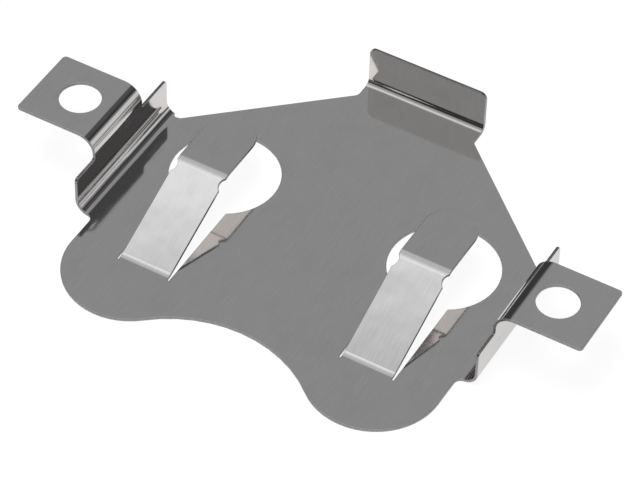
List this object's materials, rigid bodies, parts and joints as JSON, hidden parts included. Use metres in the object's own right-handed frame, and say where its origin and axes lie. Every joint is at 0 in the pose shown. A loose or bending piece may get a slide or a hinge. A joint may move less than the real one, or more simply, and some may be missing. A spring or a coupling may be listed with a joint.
{
  "type": "coin cell holder",
  "caption": "Stamped spring-metal coin cell retainer: flat plate with folded side and rear walls, lanced spring fingers in round windows and drilled board tabs.",
  "frame": {"origin": "on the plate's underside, half way between the two tab holes", "axes": "+X from tab to tab, +Y from the open front to the rear wall, +Z from the plate's underside towards the board face of the tabs"},
  "size_m": [0.0294, 0.0196, 0.0033],
  "materials": {
    "plated_steel": "plated, smooth, semi-gloss"
  },
  "bodies": {
    "root": {"holder": "plated_steel"}
  },
  "joints": []
}
